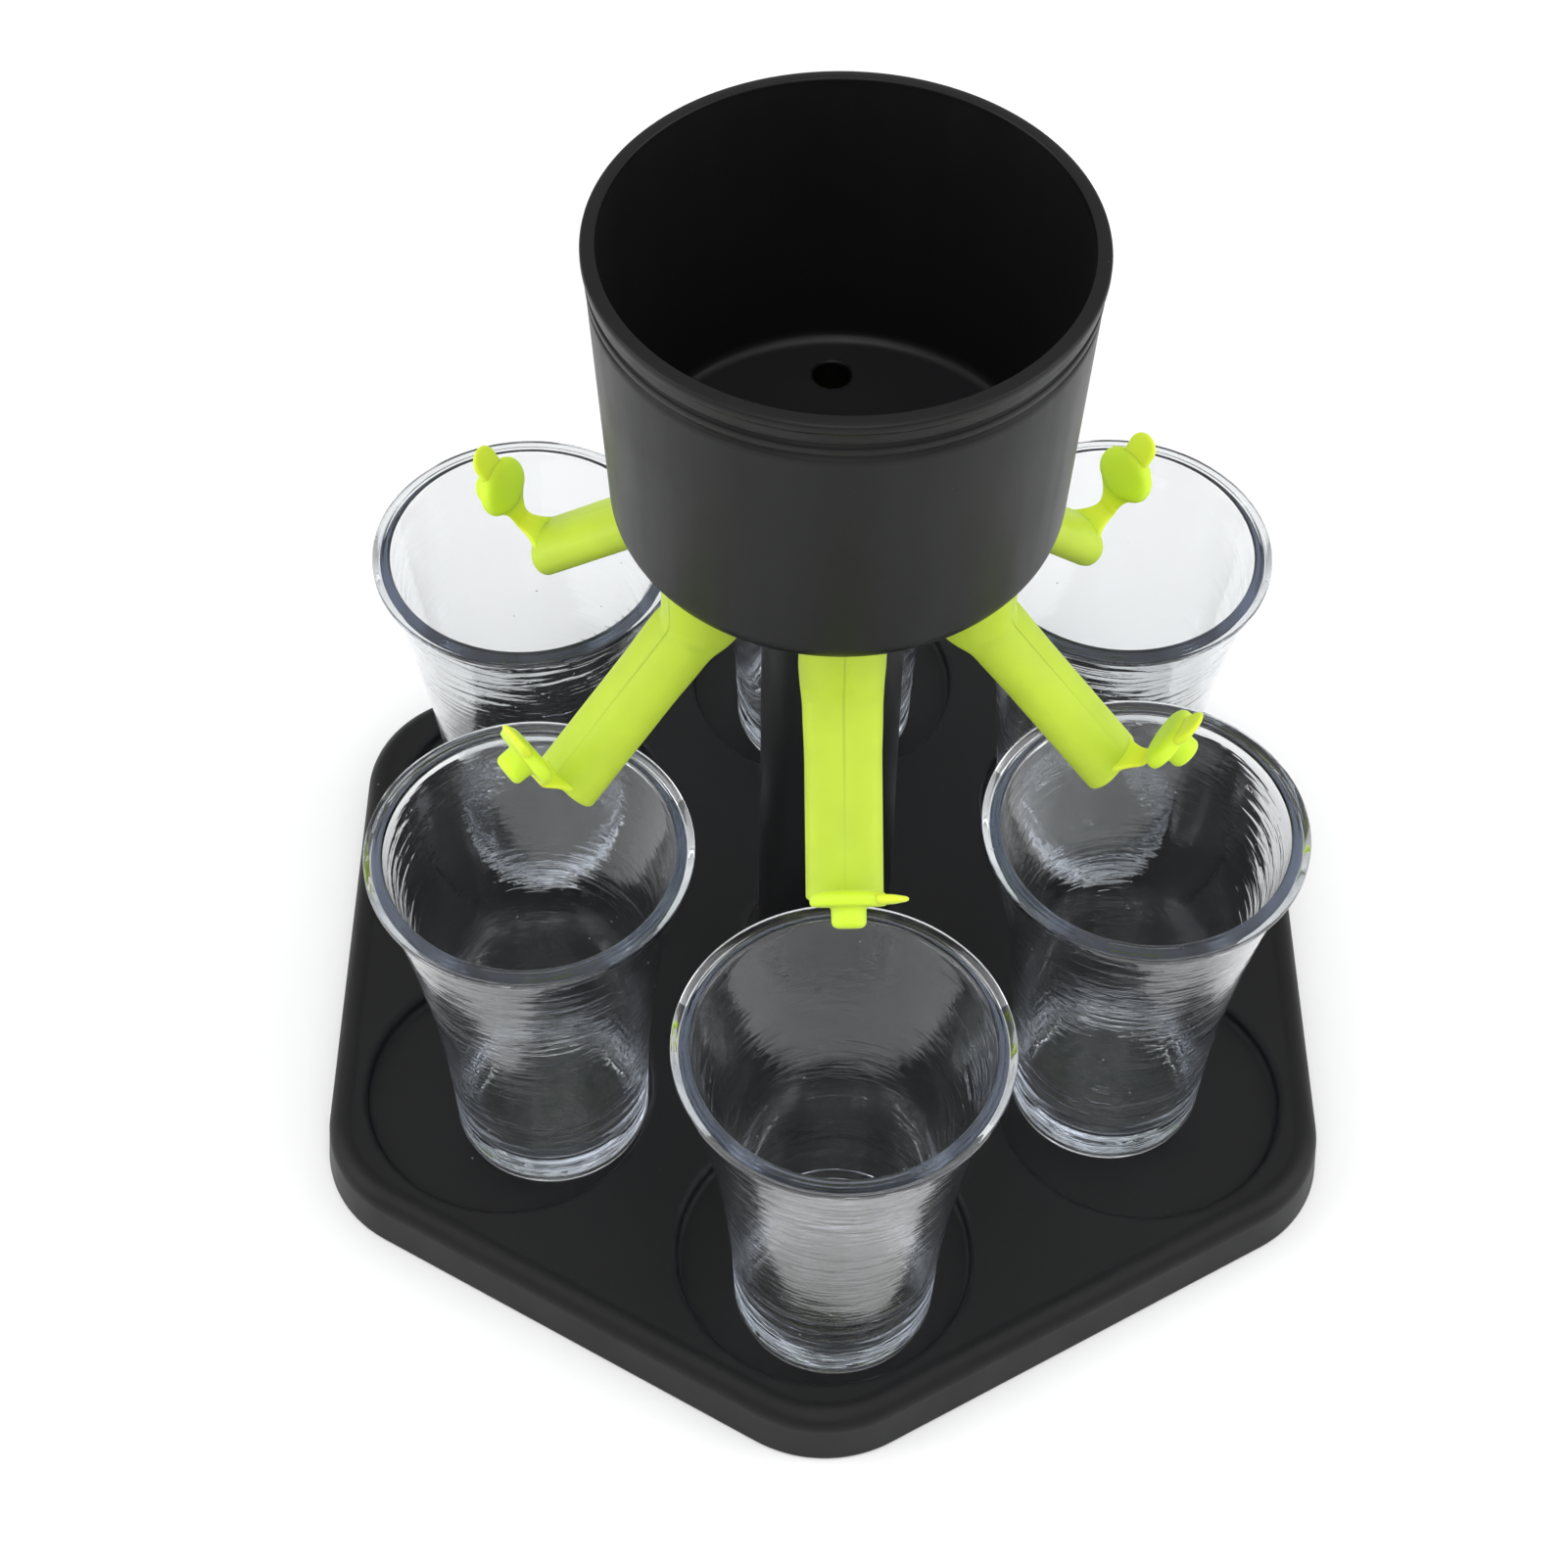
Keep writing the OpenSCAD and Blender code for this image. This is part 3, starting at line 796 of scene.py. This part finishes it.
def strap_half(x0, z0, hw0, ht0):
    """Half a strap, from inside its carrier at (x0, z0) out to the hinge line, ending in a round nose."""
    xh, zh = -HINGE_OFF, ARM_LEN + HINGE_Z
    steps = 12
    out = []
    for k in range(steps + 1):
        t = k / steps
        e = 1 - (1 - t) ** 2.1
        x = x0 + (xh - x0) * t
        z = z0 + (zh - z0) * ease(t)
        hw = hw0 + (1.9 - hw0) * e
        ht = ht0 + (0.34 - ht0) * e
        out.append((x, z, hw, ht, t))
    full = []
    for k, (x, z, hw, ht, t) in enumerate(out):
        a, b = out[max(0, k - 1)], out[min(steps, k + 1)]
        ang = math.degrees(math.atan2(b[1] - a[1], -(b[0] - a[0])))
        full.append((x, z, hw, ht, -ang, ease(t * 1.3)))
    # round nose about the hinge line
    x1, z1, hw, ht, ang, tag = full[-1]
    dx, dz = full[-1][0] - full[-2][0], full[-1][1] - full[-2][1]
    l = math.hypot(dx, dz)
    dx, dz = dx / l, dz / l
    for a in (30, 55, 75):
        r = math.radians(a)
        full.append((x1 + dx * 0.34 * math.sin(r), z1 + dz * 0.34 * math.sin(r), hw - 0.1 * (1 - math.cos(r)), 0.34 * math.cos(r), ang, tag))
    return strip(full)


def add_floats(o, name, values):
    att = o.data.attributes.new(name, "FLOAT", "POINT")
    att.data.foreach_set("value", np.array(values, np.float32))


def nozzle_piece(i):
    s, lateral, along = nozzle(i)
    me = bpy.data.meshes.new("nozzle_arm_" + NAMES[i])
    me.from_pydata((np.array(s.v, float) * MM).tolist(), [], s.f)
    o = bpy.data.objects.new("nozzle_arm_" + NAMES[i], me)
    add_floats(o, "lateral", lateral)
    add_floats(o, "along", along)
    bm = bmesh.new()
    bm.from_mesh(me)
    bmesh.ops.recalc_face_normals(bm, faces=bm.faces)
    bm.to_mesh(me)
    bm.free()
    me.shade_smooth()
    me.set_sharp_from_angle(angle=math.radians(50))
    bpy.context.scene.collection.objects.link(o)
    o.data.materials.append(LIME_ARM)
    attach(o, "reservoir")
    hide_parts("nozzle_" + NAMES[i])
    # the half of the strap that stays with the mouth
    half = strap_half(-1.9, ARM_LEN - 1.25, 4.9, 0.95)
    half.v = [tuple(p) for p in moved(half.v, at_arm(i))]
    piece("strap_root_" + NAMES[i], half, "reservoir", LIME_CAP, ["strap_" + NAMES[i]], sharp=60)
    return o


# ---------------------------------------------------------------- caps
def disc(rows, w, h, n=64, tag=0.0):
    """A closed oval pad from (inset, height) rows, its middle closed at both ends."""
    s = Shell()
    rings = [s.ring([(x, y, z) for x, y in section(w - 2 * d, h - 2 * d, n)], tag) for d, z in rows]
    for a, b in zip(rings, rings[1:]):
        s.bridge(a, b)
    for r, z, flip in ((rings[0], rows[0][1], False), (rings[-1], rows[-1][1], True)):
        s.fan(r, (0, 0, z), tag, flip)
    return s


def cap(i):
    s = disc(
        [(2.6, 0.0), (0.9, 0.0), (0.35, 0.08), (0.08, 0.32), (0.0, 0.7), (0.0, 1.2), (0.14, 1.62), (0.42, 1.98), (0.85, 2.24), (1.4, 2.38), (2.2, 2.44), (3.0, 2.45)],
        CAP_W,
        CAP_H + 0.35,
    )
    plug = lathe(
        [(0, -PLUG_LEN + 0.05), (0.9, -PLUG_LEN + 0.05)]
        + arc(PLUG_D / 2 - 1.0, -PLUG_LEN + 1.0, 1.0, -90, 0, 7)
        + [(PLUG_D / 2 + 0.02, -1.0), (PLUG_D / 2 + 0.05, -0.4), (PLUG_D / 2 + 0.25, -0.1), (PLUG_D / 2 + 0.5, 0.05), (PLUG_D / 2 - 0.3, 0.6), (0, 0.6)],
        40,
    )
    s.add(plug)
    out = CAP_H / 2 + 1.8 if TAB[i] == 0 else CAP_W / 2 + 0.8
    tab = Shell()
    rows = [(1.0, -0.74), (0.4, -0.66), (0.1, -0.38), (0.0, 0.0), (0.1, 0.38), (0.4, 0.66), (1.0, 0.74)]
    wide = 1.2 if TAB[i] == 0 else 1.0
    rings = []
    m = 48
    for inset, z in rows:
        pts = []
        for k in range(m):
            a = 2 * math.pi * k / m
            x = (TAB_R - inset) * math.cos(a)
            y = (TAB_R * wide - inset) * math.sin(a)
            if x < 0:
                x -= 2.8 * (-math.cos(a)) ** 0.5
            pts.append((out + x, y, 1.0 + z * (1.0 - 0.42 * ease((x + 1.2) / (TAB_R + 1.2)))))
        rings.append(tab.ring(pts, 0.75))
    for a, b in zip(rings, rings[1:]):
        tab.bridge(a, b)
    for r, z, flip in ((rings[0], 1.0 - 0.74, False), (rings[-1], 1.0 + 0.74, True)):
        tab.fan(r, (out - 1.6, 0, z), 0.75, flip)
    tab.v = [tuple(p) for p in moved(tab.v, turn_z(TAB[i]))]
    s.add(tab)
    # the half of the strap that turns with the cap
    half = strap_half(-2.2, ARM_LEN + 0.2 + 1.15, 4.6, 0.8)
    half.v = [tuple(p) for p in moved(half.v, shift(0, 0, -ARM_LEN - 0.2))]
    s.add(half)
    s.v = [tuple(p) for p in moved(s.v, at_cap(i))]
    return piece("cap_pad_" + NAMES[i], s, "cap_" + NAMES[i], LIME_CAP, ["cap_" + NAMES[i]], sharp=60)


for i in range(6):
    nozzle_piece(i)
    cap(i)


# ---------------------------------------------------------------- glasses
def wall(z):
    """Outer radius of a glass at a height above its foot."""
    u = (z - 2) / (GLASS_H - 3.6)
    return GLASS_FOOT + 0.3 + (GLASS_R - 1.15 - GLASS_FOOT - 0.3) * (0.17 * u + 0.83 * max(0.0, u) ** 2.05)


def hollow(z):
    return wall(z) - GLASS_T - 0.35 * (z - 2) / (GLASS_H - 3.6)


def ripple(z, rows, depth, width):
    return sum(depth * math.exp(-(((z - zr) / width) ** 2)) for zr in rows)


def glass(i):
    """One closed skin: dished underside with the gate's nub, thick foot, flared wall, flat-topped lip and deep round hollow."""
    top = GLASS_H
    prof = [(0, 0.2), (0.7, 0.14), (1.5, 0.12), (1.85, 0.17), (2.1, 0.38), (2.4, 0.45), (5.3, 0.45), (5.7, 0.34), (6.1, 0.45)]
    prof += [(8.2, 0.45), (8.7, 0.3), (9.2, 0.45), (13.0, 0.45), (13.7, 0.38), (14.2, 0.14), (14.6, 0.0), (15.2, 0.0)]
    prof += arc(GLASS_FOOT - 1.2, 1.2, 1.2, -78, -4, 7)
    zs = [2.0 + 0.35 * k for k in range(0, 44)] + [17.4 + 2.0 * k for k in range(0, 27)]
    for z in zs:
        if z > top - 3.2:
            break
        prof.append((wall(z) - ripple(z, (2.75,), 0.22, 0.35) - ripple(z, (5.2, 7.3, 9.8, 12.6), 0.1, 0.45), z))
    w1 = wall(top - 2.6)
    prof += [(w1, top - 2.6), (w1 + 0.05, top - 2.2)]
    prof += [(w1 + 0.2, top - 1.95)]
    prof += arc(GLASS_R - 0.25, top - 1.0, 0.25, -50, 0, 5)
    prof += [(GLASS_R, top - 0.85), (GLASS_R, top - 0.4)]
    prof += arc(GLASS_R - 0.22, top - 0.22, 0.22, 8, 84, 5)
    prof += [(25.6, top), (25.35, top - 0.04), (25.1, top - 0.12), (24.85, top - 0.12), (24.7, top - 0.05), (24.55, top - 0.05), (24.4, top - 0.12), (24.15, top - 0.12), (23.95, top - 0.03), (23.8, top)]
    inner_r = hollow(top - 1.6)
    prof += arc(inner_r + 0.45, top - 0.45, 0.45, 96, 176, 7)
    prof += [(inner_r - 0.02, top - 0.9), (inner_r - 0.05, top - 1.3)]
    cove_z = GLASS_FT + 5
    z = top - 2.4
    while z > cove_z + 10.5:
        prof.append((hollow(z), z))
        z -= 2.1
    while z > cove_z + 0.3:
        prof.append((hollow(z) + ripple(z, (cove_z + 1.6, cove_z + 4.6, cove_z + 8.0), 0.1, 0.45), z))
        z -= 0.4
    cove_r = hollow(cove_z)
    for a in range(0, 91, 3):
        b = math.radians(a)
        prof.append((cove_r - 4.5 + 4.5 * math.cos(b) + ripple(a, (14, 33, 51, 68), 0.07, 4.5), cove_z - 5 * math.sin(b)))
    prof += [(cove_r - 4.9, GLASS_FT), (9.0, GLASS_FT), (6.5, GLASS_FT + 0.01), (4.0, GLASS_FT), (2.0, GLASS_FT), (0, GLASS_FT)]
    s = lathe(prof, 112, GLASS_AT[i], z0=RECESS_Z)
    return piece("shot_cup_" + NAMES[i], s, "shot_glass_" + NAMES[i], CLEAR, ["shot_glass_" + NAMES[i]], sharp=60)


for i in range(6):
    glass(i)


# ---------------------------------------------------------------- floor, camera, light
def plain(name, colour, rough):
    m, nt, p, _ = nodes_of(name)
    tc = nt.nodes.new("ShaderNodeTexCoord")
    c = noise(nt, tc.outputs["Object"], 3.0, 2.0)
    nt.links.new(mix_colour(nt, c, tuple(x * 0.995 for x in colour), colour), p.inputs["Base Color"])
    p.inputs["Roughness"].default_value = rough
    p.inputs["Specular IOR Level"].default_value = 0.2
    return m


floor_me = bpy.data.meshes.new("floor")
half = 3.0
floor_me.from_pydata([(-half, -half, -0.0002), (half, -half, -0.0002), (half, half, -0.0002), (-half, half, -0.0002)], [], [(0, 1, 2, 3)])
floor = bpy.data.objects.new("floor", floor_me)
floor_white = plain("floor_white", (0.9, 0.9, 0.9), 0.7)
glow = next(n for n in floor_white.node_tree.nodes if n.type == "BSDF_PRINCIPLED")
glow.inputs["Emission Color"].default_value = (1, 1, 1, 1)
glow.inputs["Emission Strength"].default_value = 0.06
floor.data.materials.append(floor_white)
bpy.context.scene.collection.objects.link(floor)

yaw, pitch, roll = math.radians(0.333), math.radians(51.565), math.radians(0.823)
fw = Vector((math.sin(yaw) * math.cos(pitch), math.cos(yaw) * math.cos(pitch), -math.sin(pitch)))
r0 = Vector((math.cos(yaw), -math.sin(yaw), 0.0))
u0 = r0.cross(fw)
rt = math.cos(roll) * r0 + math.sin(roll) * u0
up = -math.sin(roll) * r0 + math.cos(roll) * u0
cam_data = bpy.data.cameras.new("camera")
cam = bpy.data.objects.new("camera", cam_data)
cam.matrix_world = Matrix(
    (
        (rt.x, up.x, -fw.x, -9.467 * MM),
        (rt.y, up.y, -fw.y, -318.094 * MM),
        (rt.z, up.z, -fw.z, 458.093 * MM),
        (0, 0, 0, 1),
    )
)
cam_data.sensor_width = 36.0
cam_data.lens = 36.0 * 3020.7 / 1601
cam_data.clip_start, cam_data.clip_end = 0.01, 20
bpy.context.scene.collection.objects.link(cam)
bpy.context.scene.camera = cam


def area(name, at, aim, w, h, power, colour=(1, 1, 1)):
    d = bpy.data.lights.new(name, "AREA")
    d.shape = "RECTANGLE"
    d.size, d.size_y = w, h
    d.energy = power
    d.color = colour
    o = bpy.data.objects.new(name, d)
    o.location = at
    o.rotation_mode = "QUATERNION"
    o.rotation_quaternion = (Vector(aim) - Vector(at)).to_track_quat("-Z", "Y")
    bpy.context.scene.collection.objects.link(o)
    return o


area("soft_left", (-1.25, -0.1, 0.75), (0, 0, 0.08), 0.9, 1.3, 8.5)
area("soft_right", (1.25, -0.1, 0.75), (0, 0, 0.08), 0.9, 1.3, 8.5)
area("soft_front", (0.0, -1.35, 1.25), (0, 0, 0.05), 1.4, 0.7, 5.5)
area("soft_top", (0.0, -0.35, 1.7), (0, 0, 0.0), 0.9, 0.9, 5)

world = bpy.data.worlds.new("world")
bpy.context.scene.world = world
world.use_nodes = True
wt = world.node_tree
bg = wt.nodes.get("Background") or wt.nodes.new("ShaderNodeBackground")
bg.inputs["Color"].default_value = (1.0, 1.0, 1.0, 1.0)
up_there = wt.nodes.new("ShaderNodeSeparateXYZ")
wt.links.new(wt.nodes.new("ShaderNodeTexCoord").outputs["Generated"], up_there.inputs["Vector"])
height = up_there.outputs["Z"]
glow_low = ramp(wt, height, 0.05, 0.3, 0.5, 0.0)
wt.links.new(maths(wt, "ADD", ramp(wt, height, 0.1, 0.95, 0.26, 0.84), glow_low), bg.inputs["Strength"])
bpy.context.scene.view_settings.view_transform = "Standard"
# light runs down inside the clear walls, so it needs more than the usual number of turns
paths = bpy.context.scene.cycles
paths.max_bounces, paths.glossy_bounces, paths.transmission_bounces, paths.transparent_max_bounces = 28, 24, 28, 12
